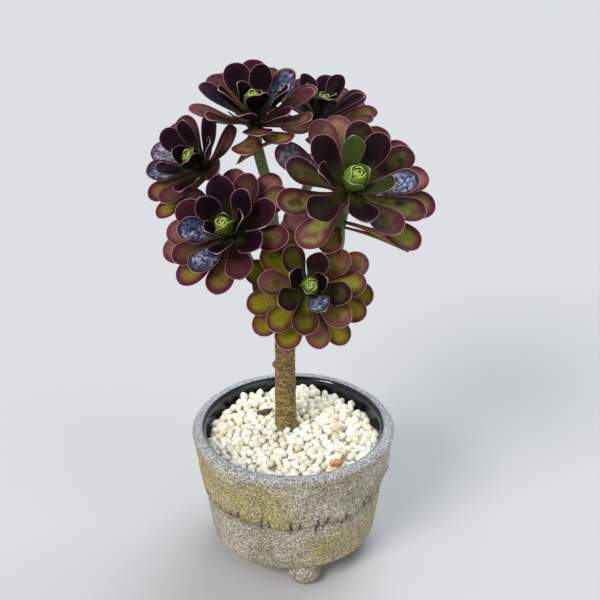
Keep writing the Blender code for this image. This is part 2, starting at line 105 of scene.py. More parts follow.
def joined(first, second):
    # two shapes as one, moved to the pot's axis; the second's faces count on from the
    # first's points
    count = len(first[0])
    return (np.concatenate([first[0], second[0]]) + potAxis,
            *(np.concatenate([a, b + count]) for a, b in zip(first[1:], second[1:])))


def addObject(name, data):
    item = bpy.data.objects.new(name, data)
    bpy.context.scene.collection.objects.link(item)
    return item


def putMesh(name, shape, values, material):
    # one mesh object from points, quads and triangles, with its values as attributes
    points, quads, triangles = shape
    mesh = bpy.data.meshes.new(name)
    corners = np.concatenate([quads.ravel(), triangles.ravel()]).astype(np.int32)
    sizes = np.concatenate([np.full(len(quads), 4), np.full(len(triangles), 3)])
    starts = np.concatenate([[0], np.cumsum(sizes)[:-1]]).astype(np.int32)
    mesh.vertices.add(len(points))
    mesh.vertices.foreach_set("co", points.astype(np.float32).ravel())
    mesh.loops.add(len(corners))
    mesh.loops.foreach_set("vertex_index", corners)
    mesh.polygons.add(len(sizes))
    mesh.polygons.foreach_set("loop_start", starts)
    mesh.update(calc_edges=True)
    mesh.shade_smooth()
    for key, numbers in values.items():
        layer = mesh.attributes.new(key, "FLOAT", "POINT")
        layer.data.foreach_set("value", numbers.astype(np.float32).ravel())
    mesh.materials.append(material)
    piece = addObject(name, mesh)
    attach(piece, "root")
    return piece


def putTubes(name, rings, values, material):
    # closed tubes whose values are grids like the rings
    copies = len(rings)
    full = {}
    for key, grid in values.items():
        grid = np.broadcast_to(grid, rings.shape[:3])
        ends = grid[:, [0, -1]].mean(axis=2)
        full[key] = np.concatenate([grid.reshape(copies, -1), ends], axis=1)
    return putMesh(name, tubeShape(rings), full, material)


def curveThrough(knots, count):
    # Catmull-Rom: each stretch is the cubic whose slopes follow its neighbours
    knots = np.array(knots, dtype=float)
    padded = np.vstack([2 * knots[0] - knots[1], knots, 2 * knots[-1] - knots[-2]])
    value = np.linspace(0, len(knots) - 1, count)
    i = np.minimum(value.astype(int), len(knots) - 2)
    t = (value - i)[:, None]
    p0, p1, p2, p3 = padded[i], padded[i + 1], padded[i + 2], padded[i + 3]
    return 0.5 * (2 * p1 + (p2 - p0) * t + (2 * p0 - 5 * p1 + 4 * p2 - p3) * t ** 2
                  + (3 * p1 - p0 - 3 * p2 + p3) * t ** 3)


def bump(distance, width):
    # a smooth hill: one at no distance, falling away over the width
    return np.exp(-(distance / width) ** 2)


# materials

def addNode(tree, kind, **settings):
    node = tree.nodes.new(kind)
    for key, value in settings.items():
        setattr(node, key, value)
    return node


def feed(tree, source, target):
    # a plain number or colour is set on the socket, anything else is linked to it
    if isinstance(source, (int, float, tuple)):
        target.default_value = source
    else:
        tree.links.new(source, target)


def mathNode(tree, operation, first, second):
    node = addNode(tree, "ShaderNodeMath", operation=operation)
    feed(tree, first, node.inputs[0])
    feed(tree, second, node.inputs[1])
    return node.outputs[0]


def between(tree, value, low, high, start=0.0, end=1.0):
    # map a value from one range to another, smoothly and held at the ends
    node = addNode(tree, "ShaderNodeMapRange", interpolation_type="SMOOTHSTEP")
    for key, source in (("Value", value), ("From Min", low), ("From Max", high),
                        ("To Min", start), ("To Max", end)):
        feed(tree, source, node.inputs[key])
    return node.outputs["Result"]


def blend(tree, amount, first, second):
    node = addNode(tree, "ShaderNodeMix", data_type="RGBA")
    feed(tree, amount, node.inputs["Factor"])
    sides = [socket for socket in node.inputs if socket.type == "RGBA"]
    for source, socket in zip((first, second), sides):
        feed(tree, colour(source), socket)
    return [socket for socket in node.outputs if socket.type == "RGBA"][0]


def colour(value):
    return (*value, 1.0) if isinstance(value, tuple) and len(value) == 3 else value


def times(tree, first, *others):
    # the product of masks and numbers
    for other in others:
        first = mathNode(tree, "MULTIPLY", first, other)
    return first


def inverse(tree, mask):
    return mathNode(tree, "SUBTRACT", 1.0, mask)


def coats(tree, body, look, *layers):
    # lay colours over the body in turn, each by the product of its masks and numbers;
    # a colour is named as in the look, or given as it is
    for shade, *amounts in layers:
        shade = look[shade] if isinstance(shade, str) else shade
        body = blend(tree, times(tree, *amounts), body, shade)
    return body


def ramp(tree, value, stops):
    node = addNode(tree, "ShaderNodeValToRGB")
    feed(tree, value, node.inputs[0])
    band = node.color_ramp
    for _ in range(len(stops) - 2):
        band.elements.new(0.5)
    for element, (place, shade) in zip(band.elements, stops):
        element.position = place
        element.color = colour(shade)
    return node.outputs[0]


def attributes(tree, *keys):
    return [addNode(tree, "ShaderNodeAttribute", attribute_name=key).outputs["Fac"]
            for key in keys]


def newGroup(name, **numbers):
    # a group with a vector and plain numbers going in, and a mask coming out
    group = bpy.data.node_groups.new(name, "ShaderNodeTree")
    group.interface.new_socket("Vector", in_out="INPUT", socket_type="NodeSocketVector")
    for key, value in numbers.items():
        socket = group.interface.new_socket(key, in_out="INPUT", socket_type="NodeSocketFloat")
        socket.default_value = value
    group.interface.new_socket("Mask", in_out="OUTPUT", socket_type="NodeSocketFloat")
    return group, addNode(group, "NodeGroupInput").outputs, addNode(group, "NodeGroupOutput")


def newTexture(group, kind, given):
    node = addNode(group, kind)
    for key in ("Vector", "Scale"):
        group.links.new(given[key], node.inputs[key])
    return node


def makeMottle():
    # soft cloudy patches: noise cut to a mask between two levels
    group, given, result = newGroup("mottle", Scale=100.0, Low=0.4, High=0.6)
    noise = newTexture(group, "ShaderNodeTexNoise", given)
    noise.inputs["Detail"].default_value = 4.0
    mask = between(group, noise.outputs["Fac"], given["Low"], given["High"])
    group.links.new(mask, result.inputs["Mask"])
    return group


def makeSpeckle():
    # small round spots: cells whose random number is low enough get a dot at their middle
    group, given, result = newGroup("speckle", Scale=500.0, Share=0.3, Size=0.4)
    cells = newTexture(group, "ShaderNodeTexVoronoi", given)
    split = addNode(group, "ShaderNodeSeparateColor")
    group.links.new(cells.outputs["Color"], split.inputs[0])
    chosen = mathNode(group, "LESS_THAN", split.outputs[0], given["Share"])
    near = between(group, cells.outputs["Distance"], given["Size"], 0.0)
    group.links.new(times(group, chosen, near), result.inputs["Mask"])
    return group


mottleGroup = makeMottle()
speckleGroup = makeSpeckle()


def useGroup(tree, group, vector, numbers):
    # numbers come in the order of the group's inputs after its vector
    node = addNode(tree, "ShaderNodeGroup", node_tree=group)
    tree.links.new(vector, node.inputs["Vector"])
    for socket, value in zip(list(node.inputs)[1:], numbers):
        socket.default_value = value
    return node.outputs["Mask"]


def mottle(tree, vector, pattern):
    return useGroup(tree, mottleGroup, vector, pattern)


def speckle(tree, vector, pattern):
    return useGroup(tree, speckleGroup, vector, pattern)


def newMaterial(name):
    made = bpy.data.materials.new(name)
    made.use_nodes = True
    tree = made.node_tree
    return made, tree, addNode(tree, "ShaderNodeTexCoord").outputs["Object"]


def finished(made, body, roughness, height, relief, strength=0.8):
    # what every material is fed: a colour, a roughness and a relief in metres
    tree = made.node_tree
    inputs = tree.nodes["Principled BSDF"].inputs
    feed(tree, body, inputs["Base Color"])
    feed(tree, roughness, inputs["Roughness"])
    node = addNode(tree, "ShaderNodeBump")
    for key, source in (("Strength", strength), ("Distance", relief), ("Height", height)):
        feed(tree, source, node.inputs[key])
    tree.links.new(node.outputs["Normal"], inputs["Normal"])
    return made


leafPatterns = dict(
    # mottle: scale, low and high cut; speckle: scale, share of cells and size of the spot
    clouds=(140.0, 0.32, 0.70),
    fine=(1000.0, 0.38, 0.66),
    # the next pattern spots the pale glints of the painted sky reflection
    glints=(600.0, 0.38, 0.64),
    dots=(1100.0, 0.30, 0.5),
    dotAmount=0.40,
    fineAmount=0.28,
    # the next amount is for the slate blue tint of the painted sky reflection
    sheenTintAmount=0.62,
    roughness=(0.26, 0.42),
    underRougher=0.15,       # added on the underside of a leaf
    ior=1.38,
    relief=0.00010,          # metres
)


def leafMaterial(name, look):
    # colour runs with age from the green heart to the dark young leaves and the mottled
    # old ones, some of them pinker and brighter, partly as painted highlights; the rim is
    # redder with a pale line at its very edge, a painted highlight where its hairs catch light,
    # and a few chosen leaves get a painted sky reflection: a slate blue tint with pale glints
    made, tree, place = newMaterial(name)
    age, rim, along, tone, bloom, under = attributes(tree, "age", "rim", "along", "tone",
                                                     "bloom", "under")
    clouds, fine, glints = (mottle(tree, place, leafPatterns[key])
                          for key in ("clouds", "fine", "glints"))
    dots = speckle(tree, place, leafPatterns["dots"])
    ripe = between(tree, age, look["greenFrom"], look["greenFrom"] + 0.45)
    patchy = between(tree, mathNode(tree, "SUBTRACT", clouds, tone), -0.75, 0.15)
    # painted sky reflection: on the chosen leaves only, away from the foot and the very edge
    bloom = times(tree, bloom, between(tree, along, 0.15, 0.85), between(tree, rim, 0.99, 0.55))
    # the pale edge line is a painted highlight, where the fine hairs on the edge catch light
    edge = blend(tree, between(tree, age, 0.14, 0.20), look["budLine"], look["line"])
    body = coats(
        tree, ramp(tree, age, look["ages"]), look,
        # pinker leaves at random, made brighter so that they stand partly for painted highlights
        ("rosy", between(tree, tone, 0.62, 0.80), ripe, look["rosyHighlightAmount"]),
        ("scaleFoot", between(tree, age, 0.20, 0.15), between(tree, along, 0.75, 0.25, 0.0, 0.75)),
        ("patch", between(tree, rim, 0.88, 0.30), ripe, patchy),
        ("neck", between(tree, along, 0.60, 0.15), between(tree, age, 0.75, 0.1, 0.0, 0.8)),
        ("flush", between(tree, rim, 0.50, 0.95),
         between(tree, age, 0.2, 0.75, 0.0, look["flushAmount"])),
        ("flush", dots, leafPatterns["dotAmount"]),
        ("dark", fine, leafPatterns["fineAmount"]),
        # painted sky reflection: a slate blue tint, then pale glints over it
        ("slate", bloom, leafPatterns["sheenTintAmount"]),
        ("bloom", bloom, glints, between(tree, clouds, 0.15, 0.85, 0.15, 1.0)),
        # painted highlight along the very edge of the leaf
        (edge, between(tree, rim, 0.956, 0.988), look["lineAmount"]))
    rough = mathNode(tree, "ADD", between(tree, fine, 0.0, 1.0, *leafPatterns["roughness"]),
                     times(tree, under, leafPatterns["underRougher"]))
    inputs = tree.nodes["Principled BSDF"].inputs
    inputs["Specular IOR Level"].default_value = look["shine"]
    inputs["IOR"].default_value = leafPatterns["ior"]
    return finished(made, body, rough, mathNode(tree, "ADD", fine, times(tree, clouds, 2.0)),
                    leafPatterns["relief"], 0.6)


darkLook = dict(
    ages=[(0.0, (0.34, 0.50, 0.06)), (0.09, (0.19, 0.33, 0.03)), (0.165, (0.06, 0.07, 0.012)),
          (0.21, (0.007, 0.0025, 0.005)), (0.46, (0.011, 0.003, 0.008)),
          (0.66, (0.075, 0.013, 0.028)), (1.0, (0.19, 0.050, 0.048))],
    greenFrom=0.45, patch=(0.24, 0.19, 0.024), neck=(0.07, 0.09, 0.014),
    flush=(0.100, 0.011, 0.034), flushAmount=0.75,
    # the pink on the next line is partly the leaves' own tint and partly a painted highlight
    rosy=(0.37, 0.14, 0.14), rosyHighlightAmount=0.8,
    # the second and third colours on the next line are a painted sky reflection: its slate blue
    # tint and its pale glints
    dark=(0.0, 0.0, 0.0), slate=(0.045, 0.058, 0.15), bloom=(0.55, 0.64, 0.84),
    # the two line colours on the next line are painted highlights where the edge hairs catch light
    line=(0.52, 0.37, 0.33), budLine=(0.55, 0.66, 0.22), scaleFoot=(0.02, 0.05, 0.005),
    lineAmount=0.62, shine=0.08)
oliveLook = dict(
    darkLook,
    ages=[(0.0, (0.26, 0.46, 0.03)), (0.09, (0.15, 0.29, 0.02)), (0.165, (0.06, 0.08, 0.012)),
          (0.22, (0.008, 0.003, 0.005)), (0.38, (0.013, 0.004, 0.007)),
          (0.58, (0.105, 0.050, 0.012)), (1.0, (0.23, 0.135, 0.018))],
    greenFrom=0.26, patch=(0.24, 0.215, 0.014), rosyHighlightAmount=0.5)
broadLook = dict(
    darkLook,
    ages=[(0.0, (0.36, 0.52, 0.09)), (0.12, (0.19, 0.32, 0.04)), (0.24, (0.085, 0.12, 0.02)),
          (0.30, (0.013, 0.006, 0.007)), (0.48, (0.012, 0.004, 0.009)),
          (0.70, (0.085, 0.018, 0.028)), (1.0, (0.19, 0.055, 0.045))],
    greenFrom=0.36, patch=(0.27, 0.26, 0.048))
oldLook = dict(
    darkLook,
    ages=[(0.0, (0.10, 0.06, 0.02)), (1.0, (0.19, 0.055, 0.042))],
    greenFrom=0.1, patch=(0.26, 0.18, 0.03))
darkLeaf = leafMaterial("dark leaf", darkLook)
oliveLeaf = leafMaterial("olive leaf", oliveLook)
broadLeaf = leafMaterial("broad leaf", broadLook)
oldLeaf = leafMaterial("old leaf", oldLook)
print("leaf materials made")


# leaves

leafShape = dict(
    rows=26,             # rings along a blade
    columns=24,          # points round a blade
    thickness=0.0020,    # of the blade at its middle
    neck=0.34,           # width at the foot, as a share of the widest
    budLeaves=9,         # leaves that still wrap the heart
    budSize=1.28,        # of those leaves, by the rosette's own size
    wander=3.0,          # degrees that a leaf strays from the spiral
    bloom=0.68,          # how much painted sky reflection a chosen leaf has
)


def facing(yaw, elevation):
    # right, up and forward directions of a rosette that looks the given way
    yaw, elevation = math.radians(yaw), math.radians(elevation)
    forward = np.array([math.sin(yaw) * math.cos(elevation),
                        -math.cos(yaw) * math.cos(elevation), math.sin(elevation)])
    up = np.array([0.0, 0.0, 1.0]) - forward[2] * forward
    up /= np.linalg.norm(up)
    return np.cross(up, forward), up, forward


def bladeWidth(along, widest):
    # half width as a share: a neck that opens like a spoon, then half an ellipse
    rise = np.clip(along / widest, 0, 1)
    neck = leafShape["neck"]
    spoon = neck + (1 - neck) * (rise * rise * (3 - 2 * rise)) ** 1.5
    past = np.clip((along - widest) / (1 - widest), 0, 1)
    return np.where(along < widest, spoon, np.sqrt(np.clip(1 - past ** 2, 0, 1))), past


def leafSurfaces(origin, axes, leaves):
    # each blade: flat oval sections carried along a midrib that is an arc of a circle,
    # with the edges raised by the square of the distance from the midrib
    right, up, forward = axes
    spread = {key: np.asarray(value, dtype=float)[:, None, None]
              for key, value in leaves.items()}
    rows, columns = leafShape["rows"], leafShape["columns"]
    along = (1 - (1 - np.linspace(0, 0.999, rows)) ** 1.7)[None, :, None]
    turn = circle(columns)[None, None, :]
    azimuth = spread["azimuth"][..., None]
    out = np.cos(azimuth) * right + np.sin(azimuth) * up
    across = np.cross(forward, out)
    foot, tip = np.radians(spread["foot"]), np.radians(spread["tip"])
    bend = tip - foot
    lean = foot + bend * along
    side = spread["start"] + spread["length"] * (np.cos(foot) - np.cos(lean)) / bend
    rise = spread["height"] + spread["length"] * (np.sin(lean) - np.sin(foot)) / bend
    widest = 1 - 1.08 * spread["width"] / spread["length"]
    share, past = bladeWidth(along, widest)
    half = spread["width"] * share
    x = np.cos(turn)
    waves = np.sin(9 * along + 5 * spread["tone"] + 2 * np.sign(x))
    ruffle = 1 + spread["ruffle"] * waves * x ** 2
    lift = (spread["cup"] * half * x ** 2 - 0.00035 * bump(x, 0.22) * (np.sin(turn) > 0)
            * bump(along - 0.5, 0.35)) * ruffle
    thick = leafShape["thickness"] / 2 * (1.25 - 0.5 * along) * np.sqrt(share)
    lift = lift + thick * np.sin(turn) * np.abs(np.sin(turn)) ** 0.7
    lean, side, rise = lean[..., None], side[..., None], rise[..., None]
    normal = forward * np.sin(lean) - out * np.cos(lean)
    twist = np.radians(spread["twist"])[..., None]
    swing = across * np.cos(twist) + normal * np.sin(twist)
    facingUp = normal * np.cos(twist) - across * np.sin(twist)
    rings = (origin + out * side + forward * rise
             + swing * (half * x)[..., None] + facingUp * lift[..., None])
    rim = np.sqrt(past ** 2 + x ** 2 * (1 - past ** 2))
    shape = rings.shape[:3]
    values = dict(age=spread["age"], rim=rim, along=along, tone=spread["tone"],
                  bloom=spread["bloom"], under=(np.sin(turn) < 0) * 1.0)
    return rings, {key: np.broadcast_to(grid, shape) for key, grid in values.items()}


rosettes = {
    # heart: middle from the pot's axis; yaw, elevation: the way it faces; reach: radius;
    # turn, handed: the leaf spiral; lean: youngest and oldest; wide: half width by reach
    # the list after shed names the leaves that get a painted sky reflection
    "front": dict(heart=(0.0083, -0.0456, 0.1938), yaw=8, elevation=31, reach=0.0352,
                  turn=238, handed=1, leaves=28, lean=(18, 86), wide=0.195,
                  shed=(12, 17, 25), sheenLeaves=(3,), look=oliveLeaf),
    "left": dict(heart=(-0.0318, -0.0310, 0.2188), yaw=-20, elevation=42, reach=0.0380,
                 turn=93, handed=1, leaves=30, lean=(18, 86), wide=0.198,
                 shed=(16, 20, 23, 25, 28, 29), sheenLeaves=(6, 9), look=darkLeaf),
    "right": dict(heart=(0.0305, -0.0250, 0.2405), yaw=15, elevation=48, reach=0.0450,
                  turn=10, handed=-1, leaves=33, lean=(18, 86), wide=0.176,
                  shed=(14, 19, 25, 27, 28, 30, 31, 32), sheenLeaves=(8, 20), look=broadLeaf),
    "far_left": dict(heart=(-0.0492, 0.0060, 0.2420), yaw=-42, elevation=42, reach=0.0355,
                     turn=58, handed=1, leaves=27, lean=(16, 76), wide=0.190,
                     shed=(15, 16, 18, 20, 21, 23, 24, 26), sheenLeaves=(9, 14), look=darkLeaf),
    "top": dict(heart=(-0.0198, 0.0060, 0.2697), yaw=-5, elevation=70, reach=0.0375,
                turn=20, handed=1, leaves=30, lean=(18, 72), wide=0.205,
                shed=(20, 22, 25, 26, 29), sheenLeaves=(8,), look=darkLeaf),
    "back": dict(heart=(0.0152, 0.0285, 0.2630), yaw=35, elevation=74, reach=0.0340,
                 turn=70, handed=-1, leaves=27, lean=(14, 80), wide=0.200,
                 shed=(7, 9, 12, 15, 17, 22), sheenLeaves=(10,), look=darkLeaf),
}


def stalkRadius(rosette, order):
    return rosette["reach"] * 0.055 + 0.00005 * order


def stalkLength(rosette):
    return (0.00036 * rosette["leaves"] + 0.0045) * rosette["reach"] / 0.036


def openLeaves(rosette, order, draw):
    # the older a leaf, the further it leans out and the lower it sits on the stem
    reach = rosette["reach"]
    low, high = rosette["lean"]
    lean = low + (high - low) * (1 - np.exp(-order / 8))
    extent = reach * (0.24 + 0.83 * (1 - np.exp(-order / 10)))
    start = stalkRadius(rosette, order) - 0.0006
    length = (extent - start) / np.sin(np.radians(np.maximum(lean, 34)))
    return dict(
        start=start, height=-0.00036 * order * reach / 0.036,
        foot=lean + np.where(order < 10, 7, 2), tip=lean - np.where(order < 6, 12, 4),
        length=length * draw.uniform(0.97, 1.03, len(order)),
        width=reach * rosette["wide"] * (0.74 + 0.26 * np.minimum(order / 7, 1))
        * draw.uniform(0.96, 1.04, len(order)),
        cup=0.45 - 0.25 * np.minimum(order / 14, 1),
        age=0.18 + 0.82 * (order + 1) / rosette["leaves"])


def budLeaves(rosette, order):
    # small cupped scales round the heart, shorter and steeper towards its middle
    reach = rosette["reach"] * leafShape["budSize"]
    share = 1 - order / (leafShape["budLeaves"] + 1.5)
    return dict(start=0.022 * reach * share, height=0.006 * reach * order,
                foot=46 * share + 6, tip=-16 * share - 14,
                length=reach * (0.17 + 0.15 * share),
                width=reach * (0.050 + 0.085 * share), cup=0.60 + 0 * share,
                age=0.015 + 0.15 * share)


def makeRosette(name, rosette, seed):
    draw = np.random.default_rng(seed)
    opened = np.array([k for k in range(rosette["leaves"]) if k not in rosette["shed"]])
    closed = np.arange(leafShape["budLeaves"], 0, -1)
    young, old = budLeaves(rosette, closed), openLeaves(rosette, opened, draw)
    leaves = {key: np.concatenate([young[key], old[key]]) for key in young}
    order = np.concatenate([-closed, opened])
    count = len(order)
    stray = draw.uniform(-1, 1, count) * leafShape["wander"] * (order > 4)
    leaves["azimuth"] = np.radians(rosette["turn"] + rosette["handed"] * goldenAngle * order
                                   + stray)
    leaves["tone"] = draw.uniform(0, 1, count)
    leaves["twist"] = draw.uniform(-7, 7, count) * (order > 2)
    leaves["ruffle"] = draw.uniform(0.0, 0.35, count)
    # the chosen leaves get a painted sky reflection
    leaves["bloom"] = np.isin(order, rosette["sheenLeaves"]) * leafShape["bloom"]
    axes = facing(rosette["yaw"], rosette["elevation"])
    rings, values = leafSurfaces(potAxis + rosette["heart"], axes, leaves)
    piece = putTubes("rosetteLeaves_" + name, rings, values, rosette["look"])
    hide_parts("rosette_" + name)


for index, (rosetteName, rosetteFacts) in enumerate(rosettes.items()):
    makeRosette(rosetteName, rosetteFacts, 11 + index)
print("rosettes made")


# single leaves on the branches, and the green tips under the rosettes

branches = {
    # points from the pot's axis and a radius at each; a branch that is named after a
    # rosette runs on to it
    "centre": [
        (-0.0036, 0.0086, 0.1600, 0.0046), (-0.0040, 0.0090, 0.1672, 0.0046),
        (-0.0076, 0.0115, 0.1800, 0.0040), (-0.0098, 0.0128, 0.1940, 0.0040),
        (-0.0108, 0.0130, 0.2040, 0.0042)],
    "front": [
        (-0.0032, 0.0066, 0.1590, 0.0036), (-0.0020, 0.0000, 0.1640, 0.0035),
        (0.0020, -0.0120, 0.1700, 0.0031), (0.0060, -0.0260, 0.1795, 0.0030)],
    "left": [
        (-0.0050, 0.0080, 0.1600, 0.0034), (-0.0115, 0.0050, 0.1655, 0.0034),
        (-0.0178, -0.0050, 0.1790, 0.0029), (-0.0236, -0.0140, 0.1950, 0.0029)],
    "right": [
        (-0.0020, 0.0084, 0.1600, 0.0038), (0.0042, 0.0070, 0.1670, 0.0038),
        (0.0150, 0.0000, 0.1820, 0.0034), (0.0240, -0.0080, 0.2000, 0.0034),
        (0.0250, -0.0120, 0.2130, 0.0034)],
    "top": [
        (-0.0108, 0.0130, 0.2030, 0.0036), (-0.0114, 0.0126, 0.2090, 0.0036),
        (-0.0128, 0.0112, 0.2260, 0.0030), (-0.0170, 0.0104, 0.2430, 0.0030)],
    "far_left": [
        (-0.0100, 0.0128, 0.1900, 0.0032), (-0.0170, 0.0110, 0.1966, 0.0032),
        (-0.0262, 0.0084, 0.2090, 0.0027), (-0.0350, 0.0058, 0.2220, 0.0027)],
    "back": [
        (-0.0096, 0.0132, 0.1940, 0.0032), (-0.0048, 0.0160, 0.2010, 0.0032),
        (0.0060, 0.0250, 0.2180, 0.0027), (0.0140, 0.0310, 0.2340, 0.0027)],
}
stemLeaves = {
    # branch, share along it, place of the tip, half width, bend and twist in degrees
    "right_1": ("right", 0.87, (-0.0040, -0.0330, 0.2245), 0.0062, 14, -60),
    "right_2": ("right", 0.80, (0.0172, -0.0450, 0.2125), 0.0064, 30, 0),
    "right_3": ("right", 0.86, (0.0520, -0.0330, 0.2130), 0.0052, 16, -30),
    "right_4": ("right", 0.81, (0.0610, -0.0240, 0.2040), 0.0060, 16, -30),
    "top_1": ("top", 0.91, (-0.0009, -0.0120, 0.2609), 0.0062, 20, 0),
    "top_2": ("top", 0.85, (-0.0282, -0.0060, 0.2469), 0.0036, 24, 40),
    "left_1": ("left", 0.745, (-0.0120, -0.0330, 0.1760), 0.0050, 30, 0),
    "back_1": ("back", 0.895, (0.0330, 0.0560, 0.2340), 0.0062, 24, 0),
    "back_2": ("back", 0.835, (-0.0040, 0.0560, 0.2260), 0.0060, 24, 0),
}


def branchRoute(name, count):
    # the given points as one curve, up to just below the rosette that the branch carries
    points = list(branches[name])
    carried = rosettes.get(name)
    if carried:
        forward = facing(carried["yaw"], carried["elevation"])[2]
        below = stalkLength(carried) + 0.0033
        thick = stalkRadius(carried, carried["leaves"]) * 0.9
        points.append((*(np.array(carried["heart"]) - forward * below), thick))
    return curveThrough(points, count)


def stalkRoute(rosette, count):
    # straight up the axis of a rosette, from just below it to its heart
    forward = facing(rosette["yaw"], rosette["elevation"])[2]
    down = np.linspace(stalkLength(rosette) + 0.0026, -0.0008, count)
    middles = np.array(rosette["heart"]) - forward * down[:, None]
    order = rosette["leaves"] * np.clip(down / stalkLength(rosette), 0, 1)
    return np.column_stack([middles, stalkRadius(rosette, order) * 0.92])


def tubeRings(route, columns, shape):
    # round sections square to the route; shape gives each point's radius share
    middles, radii = route[:, :3], route[:, 3]
    ahead = np.gradient(middles, axis=0)
    ahead /= np.linalg.norm(ahead, axis=1)[:, None]
    side = np.cross(ahead, np.array([0.0, 1.0, 0.0]))
    side /= np.linalg.norm(side, axis=1)[:, None]
    over = np.cross(ahead, side)
    turn = circle(columns)
    spokes = (side[:, None] * np.cos(turn)[None, :, None]
              + over[:, None] * np.sin(turn)[None, :, None])
    run = np.concatenate([[0], np.cumsum(np.linalg.norm(np.diff(middles, axis=0), axis=1))])
    share = shape(run[:, None], turn[None, :])
    return middles[:, None] + spokes * (radii[:, None] * share)[..., None], run


def scarred(run, turn):
    # leaf scars: short cross ridges set on a spiral up the stem, over slow bulges
    ring = run / 0.0042
    spiral = np.cos(turn - 2.4 * np.floor(ring)) * 0.5 + 0.5
    ridge = np.exp(-((ring % 1 - 0.5) / 0.16) ** 2) * spiral ** 2
    slow = 0.02 * np.sin(run * 190 + 2 * turn) + 0.015 * np.sin(run * 410 - 3 * turn)
    return 1 + 0.055 * ridge + slow


def knobbed(run, turn):
    # the trunk's scars, and the stub of a shed branch on its left
    facingLeft = (turn + np.pi) % (2 * np.pi) - np.pi
    return scarred(run, turn) + trunk["stubSize"] * bump(run - trunk["stubRun"], 0.0020) * bump(
        facingLeft, 0.30)


barkLook = dict(
    heights=(0.070, 0.170),     # the colours run between these levels
    colours=[(0.0, (0.35, 0.265, 0.060)), (0.30, (0.34, 0.205, 0.048)),
             (0.65, (0.25, 0.130, 0.034)), (1.0, (0.18, 0.11, 0.030))],
    squash=(1.0, 1.0, 2.6),     # streaks run across the trunk
    blotch=(150.0, 0.42, 0.62), blotchShade=(0.23, 0.19, 0.045), blotchAmount=0.45,
    grain=(330.0, 0.45, 0.57), grainShade=(0.042, 0.020, 0.008), grainAmount=0.70,
    flecks=(750.0, 0.52, 0.60), fleckShade=(0.020, 0.012, 0.008), fleckAmount=0.60,
    chalk=(640.0, 0.56, 0.64), chalkShade=(0.52, 0.41, 0.15), chalkAmount=0.50,
    dots=(900.0, 0.4, 0.5), dotShade=(0.012, 0.008, 0.006), dotAmount=0.75,
    roughness=0.72,
    relief=0.00035,             # metres
)
stemLook = dict(
    green=(0.17, 0.25, 0.045), brown=(0.13, 0.075, 0.030),
    blotch=(170.0, 0.42, 0.60),
    grain=(700.0, 0.42, 0.62), grainShade=(0.035, 0.035, 0.012), grainAmount=0.45,
    roughness=0.5,
    relief=0.00018,             # metres
)


def barkMaterial():
    # brown bark: darker speckles and cross streaks, olive low down and darker brown high up
    made, tree, place = newMaterial("bark")
    height = addNode(tree, "ShaderNodeSeparateXYZ")
    tree.links.new(place, height.inputs[0])
    squash = addNode(tree, "ShaderNodeMapping")
    squash.inputs["Scale"].default_value = barkLook["squash"]
    tree.links.new(place, squash.inputs["Vector"])
    across = squash.outputs[0]
    grain = mottle(tree, across, barkLook["grain"])
    body = ramp(tree, between(tree, height.outputs["Z"], *barkLook["heights"]),
                barkLook["colours"])
    masks = dict(blotch=mottle(tree, place, barkLook["blotch"]), grain=grain,
                 fleck=mottle(tree, place, barkLook["flecks"]),
                 chalk=mottle(tree, across, barkLook["chalk"]),
                 dot=speckle(tree, place, barkLook["dots"]))
    body = coats(tree, body, barkLook, *((key + "Shade", mask, barkLook[key + "Amount"])
                                         for key, mask in masks.items()))
    return finished(made, body, barkLook["roughness"], inverse(tree, grain),
                    barkLook["relief"], 0.9)


def stemMaterial():
    # green young wood that browns in blotches, with small dark scars
    made, tree, place = newMaterial("green stem")
    blotch = mottle(tree, place, stemLook["blotch"])
    grain = mottle(tree, place, stemLook["grain"])
    brown = times(tree, *attributes(tree, "brown"), between(tree, blotch, 0.0, 1.0, 0.45, 1.0))
    body = blend(tree, brown, stemLook["green"], stemLook["brown"])
    body = coats(tree, body, stemLook, ("grainShade", grain, stemLook["grainAmount"]))
    return finished(made, body, stemLook["roughness"], grain, stemLook["relief"], 0.7)


bark = barkMaterial()
greenStem = stemMaterial()
trunk = dict(
    points=[(-0.0044, 0.0130, 0.0600, 0.0078), (-0.0044, 0.0130, 0.0680, 0.0074),
            (-0.0045, 0.0130, 0.0760, 0.0068), (-0.0046, 0.0122, 0.1000, 0.0062),
            (-0.0046, 0.0120, 0.1220, 0.0060), (-0.0042, 0.0105, 0.1420, 0.0062),
            (-0.0038, 0.0092, 0.1540, 0.0070), (-0.0036, 0.0086, 0.1610, 0.0074),
            (-0.0036, 0.0086, 0.1665, 0.0050)],
    rows=420,
    columns=96,
    stubRun=0.0555,      # distance of the stub up the trunk
    stubSize=0.34,       # how far it stands out, by the trunk's radius
    browning=dict(centre=0.35, front=0.6, left=0.5, right=0.8, top=0.1, far_left=0.35,
                  back=0.35),   # how brown each branch is
)


def makeStems():
    route = curveThrough(trunk["points"], trunk["rows"])
    rings = tubeRings(route, trunk["columns"], knobbed)[0]
    piece = putTubes("trunkBark", (rings + potAxis)[None], {}, bark)
    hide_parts("trunk")
    for name in branches:
        route = branchRoute(name, 120)
        if name in rosettes:
            route = np.vstack([route, stalkRoute(rosettes[name], 40)])
        rings, run = tubeRings(route, 40, scarred)
        fade = (1 - run / run[-1]) * 0.5 + 0.5
        values = dict(brown=(trunk["browning"][name] * fade)[None, :, None])
        piece = putTubes("branch_" + name, (rings + potAxis)[None], values, greenStem)
        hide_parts("branch_" + name)


